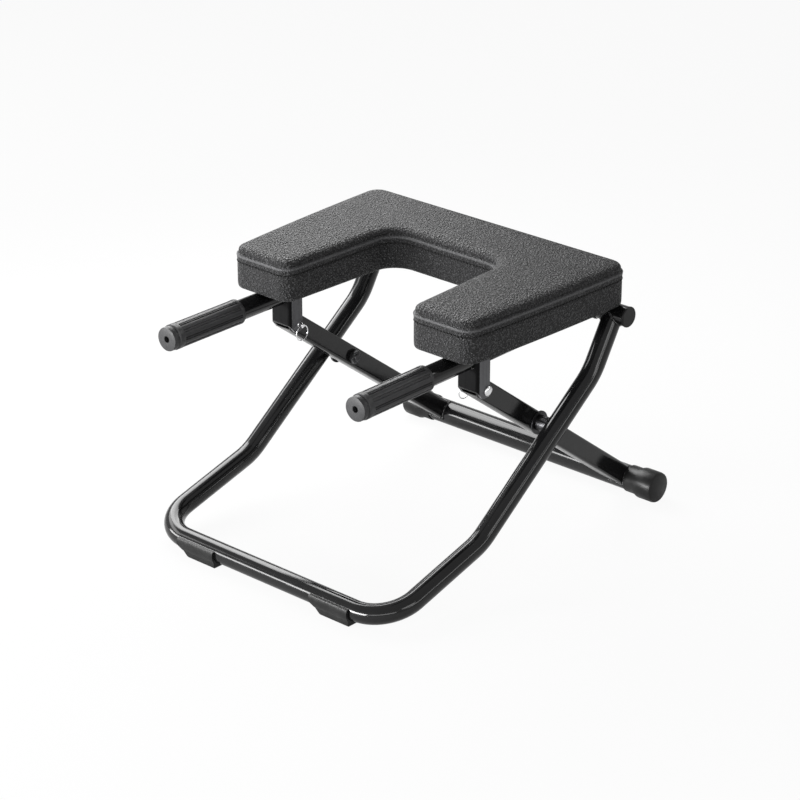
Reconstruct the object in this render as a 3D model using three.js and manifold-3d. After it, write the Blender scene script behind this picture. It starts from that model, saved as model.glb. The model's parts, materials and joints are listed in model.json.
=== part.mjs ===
// Yoga headstand stool: a folding X frame that carries a padded U-shaped shoulder rest and two handles.
// Lengths are in millimetres. X runs to the right and Z up from the floor.
// Y runs to the rear and is counted from the centre line of the base tube; the last group moves the origin.
import * as THREE from "three";
import { mergeVertices } from "three/addons/utils/BufferGeometryUtils.js";
import Module from "manifold-3d";

const wasm = await Module();
wasm.setup();

// Clearances
const clearance = 0.3; // between pieces that touch, turn or slide on each other
const overrun = 6; // how far a cutting shape runs past the faces that it cuts
const mergeDistance = 1e-4;

// Outer frame: one bent round tube
const frameRadius = 12.7;
const frameWall = 1.5;
const legX = 190.7; // centre line of the left and right legs
const lowerBend = { y: 163, z: 60, radius: 75 };
const upperBend = { y: 370, z: 212.5, radius: 75 };
const baseCornerRadius = 50;

// Rear cross tube, which carries the seat's hinge
const hinge = { y: 411, z: 279.6 };
const crossReach = 214.5; // from the middle to the outer face of each plug
const plug = { radius: 13.2, flange: 3, depth: 16, edge: 1 };

// Rubber saddles under the base tube
const saddle = { from: 80, to: 141, rubber: 3.8, soleHalf: 13.5, soleEdge: 2, rise: 6 };
const baseZ = frameRadius + saddle.rubber;

// Inner frame: two square legs on a round foot tube
const innerX = 152; // centre line of the square legs and of the seat rails
const square = { half: 12.5, wall: 1.5, corner: 3.5 };
const foot = { y: 492, radius: 16, wall: 1.5 };
const cap = { radius: 20, length: 43.9, fromLeg: 0.6, wall: 4, edge: 3, sleeve: 17.6 };
const capFlare = { from: 13.9, to: 19.9 }; // counted from the cap's mouth
const pivotY = 302;
const pinY = 201;
const tipBeyondPin = 3; // from the pin to the centre of the leg's rounded tip

// Pivot of the X
const stud = { radius: 5, bossRadius: 10, tip: 1.5, edge: 1 };
const washer = { radius: 15, thick: 2 };
const bush = { radius: 7.5 };
const nut = { acrossFlats: 16, thick: 6, edge: 0.8 };

// Hitch pin and its ring
const pin = { radius: 4, headRadius: 6.5, headThick: 4, noseRadius: 3, noseLength: 5.6 };
const ringHole = { radius: 1.4, fromTip: 2.6 };
const ring = { radius: 10, wire: 0.7, split: 1.2 };

// Seat rails with their grips
const railWall = 1.5;
const grip = { front: -10.4, rear: 107.5, radius: 15.6, disc: 15.2, collar: 15.9, core: 14.5, endWall: 4 };
const gripBand = { endDisc: 7, groove: 1.6, frontCollar: 9, rearCollar: 3.5, blend: 1.2 };
const flute = { count: 10, width: 2.6, depth: 1.1 };
const drainRadius = 3; // of the hole in the grip's end disc
const hingeCollar = { radius: 14.3, halfWidth: 15 };

// Hook bracket on each rail
const ear = { inside: 13.3, thick: 2.8, front: 182.5, rear: 205.5, frontDrop: 25, lipRadius: 8.6 };
const bendRadius = 1.5; // inside the folded edges of the bracket

// Seat pad
const pad = { frontY: 139, backY: 420, height: 53.8, seamHeight: 33.3 };
const padSide = { frontX: 192, backX: 207.5, bow: 2 };
const padNeck = { frontX: 97.5, backX: 89.5, backY: 323 };
const padCorner = { frontOuter: 20, backOuter: 22, frontInner: 18, neck: 30, least: 2 };
const padRoll = { inset: 18, drop: 14, seam: 1.2, seamHalf: 1.6, hem: 3, hemInset: 2.4 };
const board = { thick: 12, inset: 5.2 };

// Bolts from the rails into the board
const seatBolts = { front: 240, rear: 362 };
const bolt = { radius: 3, headRadius: 6, headThick: 3.2, edge: 0.8 };
const teeNut = { barrel: 4.8, flange: 9.5, flangeThick: 1.5, length: 9 };
const spacerRadius = 9;

// Fineness of the facets
const tubeSides = 24;
const boreSides = 16;
const smallSides = 20;
const wireSides = 8;
const ringSteps = 32;
const bendStep = THREE.MathUtils.degToRad(11);
const cornerSteps = 5;

// Places that follow from the sizes above
const bent = (upperBend.z - lowerBend.z) / (upperBend.y - lowerBend.y);
const pivotZ = lowerBend.z + (pivotY - lowerBend.y) * bent; // on the outer leg's centre line
const footZ = cap.radius;
const legSlope = (footZ - pivotZ) / (foot.y - pivotY);
const pinZ = pivotZ + (pinY - pivotY) * legSlope; // on the square leg's centre line
const legInner = innerX - square.half;
const legOuter = innerX + square.half;
const capMouth = legOuter + cap.fromLeg;
const capReach = capMouth + cap.length;
const earInner = innerX - ear.inside - ear.thick;
const earOuter = innerX + ear.inside + ear.thick;
const padBottom = hinge.z + hingeCollar.radius + clearance;
const boardTop = padBottom + board.thick;
const railBottom = hinge.z - frameRadius;
const railFront = grip.front + grip.endWall + clearance;

// Finishes
const finish = (color, roughness, metalness) =>
  new THREE.MeshStandardMaterial({ color, roughness, metalness, flatShading: true });
const blackPaint = finish(0x101012, 0.25, 0.3);
const bracketPaint = finish(0x2c2d2f, 0.4, 0.4);
const padCover = finish(0x3a3a3c, 0.7, 0);
const gripRubber = finish(0x2a2a2b, 0.6, 0);
const footRubber = finish(0x1b1b1c, 0.8, 0);
const plating = finish(0xc8cacc, 0.2, 1);
const darkSteel = finish(0x3d3e40, 0.4, 0.9);
const bushPlastic = finish(0x161616, 0.5, 0);
const plywood = finish(0xb08a5a, 0.8, 0);

// Solids

// A closed mesh as a solid, turned inside out where a mirrored placing has reversed its faces.
function solidOf(geometry) {
  const bare = geometry.clone();
  bare.deleteAttribute("normal");
  bare.deleteAttribute("uv");
  const merged = mergeVertices(bare, mergeDistance);
  const vertProperties = merged.attributes.position.array;
  const triVerts = new Uint32Array(merged.index.array);
  const build = () => new wasm.Manifold(new wasm.Mesh({ numProp: 3, vertProperties, triVerts }));
  const solid = build();
  if (solid.volume() > 0) return solid;
  for (let i = 0; i < triVerts.length; i += 3) {
    [triVerts[i], triVerts[i + 1]] = [triVerts[i + 1], triVerts[i]];
  }
  return build();
}

function geometryOf(solid) {
  const mesh = solid.getMesh();
  const places = new Float32Array(mesh.numVert * 3);
  for (let i = 0; i < mesh.numVert; i++) {
    places.set(mesh.vertProperties.subarray(i * mesh.numProp, i * mesh.numProp + 3), i * 3);
  }
  return new THREE.BufferGeometry()
    .setAttribute("position", new THREE.BufferAttribute(places, 3))
    .setIndex(new THREE.BufferAttribute(mesh.triVerts, 1));
}

const joined = (first, ...others) => others.reduce((sum, other) => sum.add(other), first);
const cut = (body, ...tools) => tools.reduce((left, tool) => left.subtract(tool), body);
const common = (first, second) => first.intersect(second);
const mirrored = (solid) => solidOf(geometryOf(solid).scale(-1, 1, 1));

const across = new THREE.Vector3(1, 0, 0);
const rearward = new THREE.Vector3(0, 1, 0);
const upward = new THREE.Vector3(0, 0, 1);
const at = (x, y, z) => new THREE.Vector3(x, y, z);

// The axes that a profile's own x, own y and the way it is extruded follow.
const profileAxes = {
  x: [rearward, upward, across],
  y: [across, upward, rearward],
  z: [across, rearward, upward],
};

// A profile extruded along one axis, from one place to another on it.
function prism(profile, axis, from, to) {
  const geometry = new THREE.ExtrudeGeometry(profile, { depth: to - from, bevelEnabled: false });
  geometry.translate(0, 0, from);
  return solidOf(geometry.applyMatrix4(new THREE.Matrix4().makeBasis(...profileAxes[axis])));
}

// A profile of [radius, place] pairs turned about a line along one axis through a centre.
function turned(profile, axis, centre, sides) {
  const points = profile.map(([radius, place]) => new THREE.Vector2(radius, place));
  const [side, other, along] = profileAxes[axis];
  const placing = new THREE.Matrix4().makeBasis(side, along, other).setPosition(centre);
  return solidOf(new THREE.LatheGeometry(points, sides).applyMatrix4(placing));
}

function circlePoints(radius, sides, u = 0, v = 0) {
  const points = [];
  for (let i = 0; i < sides; i++) {
    const angle = (i / sides) * 2 * Math.PI;
    points.push(new THREE.Vector2(u + radius * Math.cos(angle), v + radius * Math.sin(angle)));
  }
  return points;
}

const disc = (radius, sides, u, v) => new THREE.Shape(circlePoints(radius, sides, u, v));

function annulus(radius, bore, sides, holeSides, u, v) {
  const profile = disc(radius, sides, u, v);
  profile.holes.push(new THREE.Path(circlePoints(bore, holeSides, u, v)));
  return profile;
}

function rectangle(u0, v0, u1, v1) {
  const corners = [[u0, v0], [u1, v0], [u1, v1], [u0, v1]];
  return new THREE.Shape(corners.map(([u, v]) => new THREE.Vector2(u, v)));
}

// A polygon with round corners: [u, v, radius] for each corner.
function rounded(corners, steps = cornerSteps) {
  const points = [];
  corners.forEach(([u, v, radius], i) => {
    const here = new THREE.Vector2(u, v);
    const [beforeU, beforeV] = corners[(i + corners.length - 1) % corners.length];
    const [afterU, afterV] = corners[(i + 1) % corners.length];
    const into = here.clone().sub(new THREE.Vector2(beforeU, beforeV)).normalize();
    const out = new THREE.Vector2(afterU, afterV).sub(here).normalize();
    const turn = Math.acos(into.dot(out));
    const side = Math.sign(into.cross(out));
    const inward = new THREE.Vector2(-into.y, into.x).multiplyScalar(side);
    const start = here.clone().addScaledVector(into, -radius * Math.tan(turn / 2));
    const centre = start.clone().addScaledVector(inward, radius);
    for (let k = 0; k <= steps; k++) {
      const angle = (turn * k) / steps;
      points.push(
        centre
          .clone()
          .addScaledVector(inward, -radius * Math.cos(angle))
          .addScaledVector(into, radius * Math.sin(angle)),
      );
    }
  });
  return points;
}

// A centre line given by its stations and the way that it runs at each.
class StationLine extends THREE.Curve {
  constructor(stations, tangents) {
    super();
    this.stations = stations;
    this.tangents = tangents;
  }

  stationAt(share) {
    return Math.round(share * (this.stations.length - 1));
  }

  getPointAt(share, target = new THREE.Vector3()) {
    return target.copy(this.stations[this.stationAt(share)]);
  }

  getTangentAt(share, target = new THREE.Vector3()) {
    return target.copy(this.tangents[this.stationAt(share)]);
  }
}

// A centre line of straight runs and round bends, with stations only where it turns.
class BentLine extends StationLine {
  constructor(corners, radii) {
    super([corners[0]], [corners[1].clone().sub(corners[0]).normalize()]);
    radii.forEach((radius, i) => this.bend(corners[i], corners[i + 1], corners[i + 2], radius));
    const last = corners.length - 1;
    this.stations.push(corners[last]);
    this.tangents.push(corners[last].clone().sub(corners[last - 1]).normalize());
  }

  bend(before, corner, after, radius) {
    const into = corner.clone().sub(before).normalize();
    const out = after.clone().sub(corner).normalize();
    const turn = into.angleTo(out);
    const side = out.clone().addScaledVector(into, -out.dot(into)).normalize();
    const start = corner.clone().addScaledVector(into, -radius * Math.tan(turn / 2));
    const centre = start.addScaledVector(side, radius);
    const steps = Math.ceil(turn / bendStep);
    for (let k = 0; k <= steps; k++) {
      const angle = (turn * k) / steps;
      const place = centre.clone().addScaledVector(side, -radius * Math.cos(angle));
      this.stations.push(place.addScaledVector(into, radius * Math.sin(angle)));
      const ahead = into.clone().multiplyScalar(Math.cos(angle));
      this.tangents.push(ahead.addScaledVector(side, Math.sin(angle)));
    }
  }
}

// A profile swept along a centre line.
function swept(profile, line) {
  return solidOf(new THREE.ExtrudeGeometry(profile, { steps: line.stations.length - 1, extrudePath: line }));
}

// A round bar about a line in the YZ plane, used to cut a mouth in what meets a tube there.
function barAlong(x, fromY, fromZ, toY, toZ, radius) {
  const line = new BentLine([at(x, fromY, fromZ), at(x, toY, toZ)], []);
  return swept(disc(radius, tubeSides), line);
}

// Outer frame

function baseFrameTube() {
  const side = (x) => [
    at(x, hinge.y, hinge.z),
    at(x, upperBend.y, upperBend.z),
    at(x, lowerBend.y, lowerBend.z),
    at(x, 0, baseZ),
  ];
  const radii = [upperBend.radius, lowerBend.radius, baseCornerRadius];
  const line = new BentLine([...side(-legX), ...side(legX).reverse()], [...radii, ...radii.toReversed()]);
  const tube = swept(annulus(frameRadius, frameRadius - frameWall, tubeSides, boreSides), line);
  const reach = legX + frameRadius + overrun;
  const mouth = disc(frameRadius + clearance, tubeSides, hinge.y, hinge.z);
  return cut(tube, prism(mouth, "x", -reach, reach));
}

function rearCrossTube() {
  const half = crossReach - plug.flange - clearance;
  const profile = annulus(frameRadius, frameRadius - frameWall, tubeSides, boreSides, hinge.y, hinge.z);
  return prism(profile, "x", -half, half);
}

// A plug for the end of the cross tube: a stub in the bore and a flange over the end.
function crossTubePlug() {
  const face = crossReach - plug.flange;
  const stub = frameRadius - frameWall - 2 * clearance;
  const profile = [
    [0, face - plug.depth],
    [stub - plug.edge, face - plug.depth],
    [stub, face - plug.depth + plug.edge],
    [stub, face],
    [plug.radius, face],
    [plug.radius, crossReach - plug.edge],
    [plug.radius - plug.edge, crossReach],
    [0, crossReach],
  ];
  return turned(profile, "x", at(0, hinge.y, hinge.z), tubeSides);
}

// A rubber saddle clipped round the underside of the base tube, with a flat sole on the floor.
function frontFoot() {
  const shell = prism(disc(frameRadius + saddle.rubber, tubeSides, 0, baseZ), "x", saddle.from, saddle.to);
  const profile = rounded([
    [-saddle.soleHalf, 0, saddle.soleEdge],
    [saddle.soleHalf, 0, saddle.soleEdge],
    [saddle.soleHalf, baseZ, saddle.soleEdge],
    [-saddle.soleHalf, baseZ, saddle.soleEdge],
  ]);
  const sole = prism(new THREE.Shape(profile), "x", saddle.from, saddle.to);
  const from = saddle.from - overrun;
  const to = saddle.to + overrun;
  const bore = prism(disc(frameRadius + clearance, tubeSides, 0, baseZ), "x", from, to);
  const wide = frameRadius + saddle.rubber + overrun;
  const mouth = rectangle(-wide, baseZ + saddle.rise, wide, baseZ + wide);
  return cut(joined(shell, sole), bore, prism(mouth, "x", from, to));
}

// Pivot: a stud welded to the inboard side of each outer leg, with a washer and a lock nut
const washerOuter = legOuter + clearance + washer.thick;
const bossFace = washerOuter + clearance;
const nutInner = legInner - clearance - nut.thick;

function pivotStud() {
  const tip = nutInner - stud.tip;
  const profile = [
    [0, tip],
    [stud.radius - stud.edge, tip],
    [stud.radius, tip + stud.edge],
    [stud.radius, bossFace],
    [stud.bossRadius, bossFace],
    [stud.bossRadius, legX],
    [0, legX],
  ];
  const bar = turned(profile, "x", at(0, pivotY, pivotZ), smallSides);
  const leg = [legX, lowerBend.y, lowerBend.z, upperBend.y, upperBend.z];
  return cut(bar, barAlong(...leg, frameRadius + clearance));
}

function pivotWasher() {
  const profile = annulus(washer.radius, stud.radius + clearance, tubeSides, smallSides, pivotY, pivotZ);
  return prism(profile, "x", legOuter + clearance, washerOuter);
}

function lockNut() {
  const corner = nut.acrossFlats / Math.sqrt(3);
  const hexagon = prism(disc(corner, 6, pivotY, pivotZ), "x", nutInner, nutInner + nut.thick);
  const outer = nutInner + nut.thick;
  const flat = nut.acrossFlats / 2;
  const chamfer = [
    [0, nutInner],
    [flat, nutInner],
    [corner, nutInner + nut.edge],
    [corner, outer],
    [0, outer],
  ];
  const bore = prism(
    disc(stud.radius + clearance, smallSides, pivotY, pivotZ),
    "x",
    nutInner - overrun,
    outer + overrun,
  );
  return cut(common(hexagon, turned(chamfer, "x", at(0, pivotY, pivotZ), tubeSides)), bore);
}

// Inner frame

// A square leg from its rounded tip above the pin down to the foot tube.
function innerLeg() {
  const down = at(0, foot.y - pinY, footZ - pinZ).normalize();
  const tipReach = tipBeyondPin + square.half;
  const top = at(innerX, pinY, pinZ).addScaledVector(down, -tipReach);
  const outline = (half, corner) => rounded([
    [-half, -half, corner],
    [half, -half, corner],
    [half, half, corner],
    [-half, half, corner],
  ]);
  const profile = new THREE.Shape(outline(square.half, square.corner));
  profile.holes.push(new THREE.Path(outline(square.half - square.wall, square.corner - square.wall)));
  const tube = swept(profile, new BentLine([top, at(innerX, foot.y, footZ)], []));

  const tip = at(0, pinY, pinZ).addScaledVector(down, -tipBeyondPin);
  const from = legInner - overrun;
  const to = legOuter + overrun;
  const dome = prism(disc(square.half, tubeSides, tip.y, tip.z), "x", from, to);
  const side = at(0, -down.z, down.y).multiplyScalar(square.half + clearance);
  const heel = at(0, foot.y, footZ);
  const cheeks = [tip.clone().add(side), tip.clone().sub(side), heel.clone().sub(side), heel.clone().add(side)];
  const shank = new THREE.Shape(cheeks.map((corner) => new THREE.Vector2(corner.y, corner.z)));
  const kept = common(tube, joined(dome, prism(shank, "x", from, to)));

  const hole = (radius, sides, y, z) => prism(disc(radius, sides, y, z), "x", from, to);
  return cut(
    kept,
    hole(foot.radius + clearance, tubeSides, foot.y, footZ),
    hole(pin.radius + clearance, smallSides, pinY, pinZ),
    hole(bush.radius + clearance, smallSides, pivotY, pivotZ),
  );
}

function pivotBush() {
  const profile = annulus(bush.radius, stud.radius + clearance, smallSides, smallSides, pivotY, pivotZ);
  return prism(profile, "x", legInner, legOuter);
}

function rearFootTube() {
  const half = capReach - cap.wall - clearance;
  return prism(annulus(foot.radius, foot.radius - foot.wall, tubeSides, boreSides, foot.y, footZ), "x", -half, half);
}

// A rubber cup over each end of the foot tube.
function rearFootCap() {
  const bore = foot.radius + clearance;
  const floor = capReach - cap.wall;
  const profile = [
    [0, floor],
    [bore, floor],
    [bore, capMouth],
    [cap.sleeve, capMouth],
    [cap.sleeve, capMouth + capFlare.from],
    [cap.radius, capMouth + capFlare.to],
    [cap.radius, capReach - cap.edge],
    [cap.radius - cap.edge / 4, capReach - cap.edge / 4],
    [cap.radius - cap.edge, capReach],
    [0, capReach],
  ];
  return turned(profile, "x", at(0, foot.y, footZ), tubeSides);
}

// Hitch pin: head outboard, nose with a cross hole inboard
const headFace = earOuter + clearance;
const noseRoot = earInner - clearance;
const noseTip = noseRoot - pin.noseLength;
const ringX = noseTip + ringHole.fromTip;

function hitchPin() {
  const profile = [
    [0, noseTip],
    [pin.noseRadius - pin.noseRadius / 3, noseTip],
    [pin.noseRadius, noseTip + pin.noseRadius / 3],
    [pin.noseRadius, noseRoot],
    [pin.radius, noseRoot + pin.radius - pin.noseRadius],
    [pin.radius, headFace],
    [pin.headRadius, headFace],
    [pin.headRadius, headFace + pin.headThick / 3],
  ];
  const domeRise = (pin.headThick * 2) / 3;
  for (let k = 1; k <= cornerSteps; k++) {
    const angle = ((k / cornerSteps) * Math.PI) / 2;
    const rim = k === cornerSteps ? 0 : pin.headRadius * Math.cos(angle);
    profile.push([rim, headFace + pin.headThick / 3 + domeRise * Math.sin(angle)]);
  }
  const body = turned(profile, "x", at(0, pinY, pinZ), smallSides);
  const reach = pin.noseRadius + overrun;
  return cut(body, prism(disc(ringHole.radius, smallSides, ringX, pinZ), "y", pinY - reach, pinY + reach));
}

// A wire ring that hangs on the lower edges of the pin's cross hole, split at its lowest point.
function splitRing() {
  const sag = ring.radius - Math.sqrt(ring.radius ** 2 - pin.noseRadius ** 2);
  const hang = pinZ - ringHole.radius + clearance + ring.wire + sag;
  const centre = at(ringX, pinY, hang - ring.radius);
  const opening = ring.split / ring.radius / 2;
  const stations = [];
  const tangents = [];
  for (let k = 0; k <= ringSteps; k++) {
    const angle = opening + ((2 * Math.PI - 2 * opening) * k) / ringSteps;
    const out = at(0, Math.sin(angle), -Math.cos(angle));
    stations.push(centre.clone().addScaledVector(out, ring.radius));
    tangents.push(at(0, Math.cos(angle), Math.sin(angle)));
  }
  return swept(disc(ring.wire, wireSides), new StationLine(stations, tangents));
}

// Seat

// The bolts go in through wide holes in the rail's underside and clamp its upper wall.
function seatRail() {
  const profile = annulus(frameRadius, frameRadius - railWall, tubeSides, boreSides, innerX, hinge.z);
  const tube = prism(profile, "y", railFront, hinge.y);
  const mouth = disc(hingeCollar.radius + clearance, tubeSides, hinge.y, hinge.z);
  const wide = frameRadius + overrun;
  const holes = Object.values(seatBolts).flatMap((y) => [
    prism(disc(bolt.radius + clearance, boreSides, innerX, y), "z", hinge.z, hinge.z + wide),
    prism(disc(bolt.headRadius + clearance, boreSides, innerX, y), "z", hinge.z - wide, hinge.z),
  ]);
  return cut(tube, prism(mouth, "x", innerX - wide, innerX + wide), ...holes);
}

function hingeCollarTube() {
  const profile = annulus(hingeCollar.radius, frameRadius + clearance, tubeSides, tubeSides, hinge.y, hinge.z);
  return prism(profile, "x", innerX - hingeCollar.halfWidth, innerX + hingeCollar.halfWidth);
}

// A ribbed rubber grip with a flat end disc, a groove behind it and a collar at each end.
function railGrip() {
  const discRear = grip.front + gripBand.endDisc;
  const collarFront = discRear + gripBand.groove;
  const collarRear = collarFront + gripBand.frontCollar;
  const profile = [
    [0, grip.front],
    [grip.disc - gripBand.blend, grip.front],
    [grip.disc, grip.front + gripBand.blend],
    [grip.disc, discRear],
    [grip.core, discRear],
    [grip.core, collarFront],
    [grip.collar, collarFront],
    [grip.collar, collarRear - gripBand.blend],
    [grip.core, collarRear],
    [grip.core, grip.rear - gripBand.rearCollar - gripBand.blend],
    [grip.collar, grip.rear - gripBand.rearCollar],
    [grip.collar, grip.rear],
    [0, grip.rear],
  ];
  const core = turned(profile, "y", at(innerX, 0, hinge.z), 2 * boreSides);

  const half = flute.width / grip.radius / 2;
  const points = [];
  for (let k = 0; k < flute.count; k++) {
    const middle = ((k + 0.5) / flute.count) * 2 * Math.PI;
    const pitch = Math.PI / flute.count;
    const deep = grip.radius - flute.depth;
    const places = [[grip.radius, -pitch], [grip.radius, -pitch / 2 - half / 2], [grip.radius, -half]];
    places.push([deep, -half / 2], [deep, half / 2]);
    places.push([grip.radius, half], [grip.radius, pitch / 2 + half / 2]);
    places.forEach(([radius, turn]) => {
      const angle = middle + turn;
      const u = innerX + radius * Math.cos(angle);
      points.push(new THREE.Vector2(u, hinge.z + radius * Math.sin(angle)));
    });
  }
  const ribs = prism(new THREE.Shape(points), "y", collarRear - gripBand.blend, grip.rear - gripBand.rearCollar);
  const bore = disc(frameRadius + clearance, tubeSides, innerX, hinge.z);
  const drain = disc(drainRadius, boreSides, innerX, hinge.z);
  return cut(
    joined(core, ribs),
    prism(bore, "y", railFront - clearance, grip.rear + overrun),
    prism(drain, "y", grip.front - overrun, railFront + overrun),
  );
}

// A folded channel whose web closes the front. Its ears hold the rail, and their slots are open to the rear.
function hookBracket() {
  const drop = pinZ - ear.lipRadius;
  const outer = ear.inside + ear.thick;
  const fold = bendRadius + ear.thick;
  const rearEdge = ear.rear + overrun;
  const channel = rounded([
    [innerX - outer, ear.front, fold],
    [innerX + outer, ear.front, fold],
    [innerX + outer, rearEdge, ear.thick / 4],
    [innerX + ear.inside, rearEdge, ear.thick / 4],
    [innerX + ear.inside, ear.front + ear.thick, bendRadius],
    [innerX - ear.inside, ear.front + ear.thick, bendRadius],
    [innerX - ear.inside, rearEdge, ear.thick / 4],
    [innerX - outer, rearEdge, ear.thick / 4],
  ]);
  const upright = prism(new THREE.Shape(channel), "z", drop - overrun, hinge.z + overrun);
  const cheek = rounded([
    [ear.front, hinge.z, ear.thick / 4],
    [ear.front, railBottom - ear.frontDrop, ear.thick],
    [pinY - ear.lipRadius, drop, ear.lipRadius / 2],
    [ear.rear, drop, ear.lipRadius / 2],
    [ear.rear, hinge.z, ear.thick],
  ]);
  const from = earInner - overrun;
  const to = earOuter + overrun;
  const slot = pin.radius + clearance;
  const rail = disc(frameRadius + clearance, tubeSides, innerX, hinge.z);
  return cut(
    common(upright, prism(new THREE.Shape(cheek), "x", from, to)),
    prism(rail, "y", ear.front - overrun, rearEdge + overrun),
    prism(disc(slot, tubeSides, pinY, pinZ), "x", from, to),
    prism(rectangle(pinY, pinZ - slot, rearEdge, pinZ + slot), "x", from, to),
  );
}

// The corners of the U of the pad seen from above: [x, y, radius], counter-clockwise.
const padCorners = (() => {
  const right = [
    [padSide.frontX, pad.frontY, padCorner.frontOuter],
    [padSide.backX, pad.backY, padCorner.backOuter],
  ];
  const neck = [
    [padNeck.frontX, pad.frontY, padCorner.frontInner],
    [padNeck.backX, padNeck.backY, padCorner.neck],
  ];
  const flip = ([x, y, radius]) => [-x, y, radius];
  return [...right, ...right.toReversed().map(flip), ...neck.map(flip), ...neck.toReversed()];
})();

// The same U with every side moved inward by one depth.
function insetCorners(depth) {
  const inwardOf = ([fromX, fromY], [toX, toY]) => {
    const along = new THREE.Vector2(toX - fromX, toY - fromY).normalize();
    return new THREE.Vector2(-along.y, along.x);
  };
  return padCorners.map((corner, i) => {
    const before = padCorners[(i + padCorners.length - 1) % padCorners.length];
    const after = padCorners[(i + 1) % padCorners.length];
    const first = inwardOf(before, corner);
    const second = inwardOf(corner, after);
    const [x, y, radius] = corner;
    const step = depth / (1 + first.dot(second));
    const outward = first.cross(second) > 0;
    const round = outward ? Math.max(radius - depth, padCorner.least) : radius + depth;
    return [x + (first.x + second.x) * step, y + (first.y + second.y) * step, round];
  });
}

// The outline at one depth, with the long outer sides bowed out a little.
function padOutline(depth) {
  const points = rounded(insetCorners(depth));
  const bowShares = [0.25, 0.5, 0.75];
  return points.flatMap((point, i) => {
    const next = points[(i + 1) % points.length];
    const long = Math.abs(next.y - point.y) > (pad.backY - pad.frontY) / 2;
    const outside = Math.abs(point.x) > (padNeck.frontX + padSide.frontX) / 2;
    if (!long || !outside) return [point];
    const middles = bowShares.map((share) => {
      const middle = point.clone().lerp(next, share);
      middle.x += Math.sign(middle.x) * padSide.bow * 4 * share * (1 - share);
      return middle;
    });
    return [point, ...middles];
  });
}

// Rings of one outline at several heights, skinned into a closed solid.
function lofted(levels) {
  const rings = levels.map(([, depth]) => padOutline(depth));
  const count = rings[0].length;
  const places = [];
  levels.forEach(([height], row) => rings[row].forEach(({ x, y }) => places.push(x, y, height)));
  const index = [];
  for (let row = 0; row < levels.length - 1; row++) {
    for (let i = 0; i < count; i++) {
      const a = row * count + i;
      const b = row * count + ((i + 1) % count);
      index.push(a, b, b + count, a, b + count, a + count);
    }
  }
  THREE.ShapeUtils.triangulateShape(rings[0], []).forEach(([a, b, c]) => index.push(a, c, b));
  const top = (levels.length - 1) * count;
  const lid = THREE.ShapeUtils.triangulateShape(rings[levels.length - 1], []);
  lid.forEach(([a, b, c]) => index.push(top + a, top + b, top + c));
  const geometry = new THREE.BufferGeometry();
  geometry.setAttribute("position", new THREE.BufferAttribute(new Float32Array(places), 3));
  geometry.setIndex(index);
  return solidOf(geometry);
}

// The foam pad in its cover: straight sides with a drawn-in seam, and a top that rolls over to a low crown.
function seatCushion() {
  const seam = padBottom + pad.seamHeight;
  const crown = padBottom + pad.height;
  const rollShares = [[1, 0], [0.57, 0.055], [0.26, 0.22], [0.09, 0.44], [0.025, 0.72], [0, 1]];
  const levels = [
    [padBottom, padRoll.hemInset],
    [padBottom + padRoll.hem, 0],
    [seam - padRoll.seamHalf, 0],
    [seam, padRoll.seam],
    [seam + padRoll.seamHalf, 0],
    ...rollShares.map(([drop, depth]) => [crown - drop * padRoll.drop, depth * padRoll.inset]),
  ];
  const pocket = lofted([
    [padBottom - overrun, board.inset - clearance],
    [boardTop + clearance, board.inset - clearance],
  ]);
  const nutPockets = boltPlaces().map(({ x, y }) =>
    prism(disc(teeNut.flange + clearance, smallSides, x, y), "z", padBottom, teeNutTop + 2 * clearance),
  );
  return cut(lofted(levels), pocket, ...nutPockets);
}

function seatBoard() {
  const plate = lofted([
    [padBottom, board.inset],
    [boardTop, board.inset],
  ]);
  const holes = boltPlaces().map(({ x, y }) =>
    prism(disc(teeNut.barrel + clearance, smallSides, x, y), "z", padBottom - overrun, boardTop + overrun),
  );
  return cut(plate, ...holes);
}

// Bolts
const teeNutTop = boardTop + clearance + teeNut.flangeThick;

function boltPlaces() {
  return [-innerX, innerX].flatMap((x) => Object.values(seatBolts).map((y) => ({ x, y })));
}

// Its head bears on the inside of the rail's upper wall.
function seatBolt(y) {
  const head = hinge.z + Math.sqrt((frameRadius - railWall) ** 2 - bolt.headRadius ** 2) - 2 * clearance;
  const profile = [
    [0, head - bolt.headThick],
    [bolt.headRadius - bolt.edge, head - bolt.headThick],
    [bolt.headRadius, head - bolt.headThick + bolt.edge],
    [bolt.headRadius, head],
    [bolt.radius, head],
    [bolt.radius, teeNutTop],
    [0, teeNutTop],
  ];
  return turned(profile, "z", at(innerX, y, 0), smallSides);
}

function seatTeeNut(y) {
  const bore = bolt.radius + clearance;
  const seat = boardTop + clearance;
  const profile = [
    [bore, teeNutTop - teeNut.length],
    [teeNut.barrel, teeNutTop - teeNut.length],
    [teeNut.barrel, seat],
    [teeNut.flange, seat],
    [teeNut.flange, teeNutTop],
    [bore, teeNutTop],
    [bore, teeNutTop - teeNut.length],
  ];
  return turned(profile, "z", at(innerX, y, 0), smallSides);
}

// A spacer that sits on the round of the rail and holds the board level with the hinge collar.
function railSpacer(y) {
  const profile = annulus(spacerRadius, bolt.radius + clearance, smallSides, boreSides, innerX, y);
  const stack = prism(profile, "z", hinge.z, padBottom - clearance);
  const wide = spacerRadius + overrun;
  const rail = disc(frameRadius + clearance, tubeSides, innerX, hinge.z);
  return cut(stack, prism(rail, "y", y - wide, y + wide));
}

// Assembly
const stool = new THREE.Group();
stool.name = "yoga_headstand_stool";
const drawing = new THREE.Group();
const frontmost = -(frameRadius + saddle.rubber);
const rearmost = foot.y + cap.radius;
drawing.position.y = -(frontmost + rearmost) / 2;
stool.add(drawing);

function addPiece(name, solid, material) {
  const mesh = new THREE.Mesh(geometryOf(solid), material);
  mesh.name = name;
  drawing.add(mesh);
}

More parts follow.
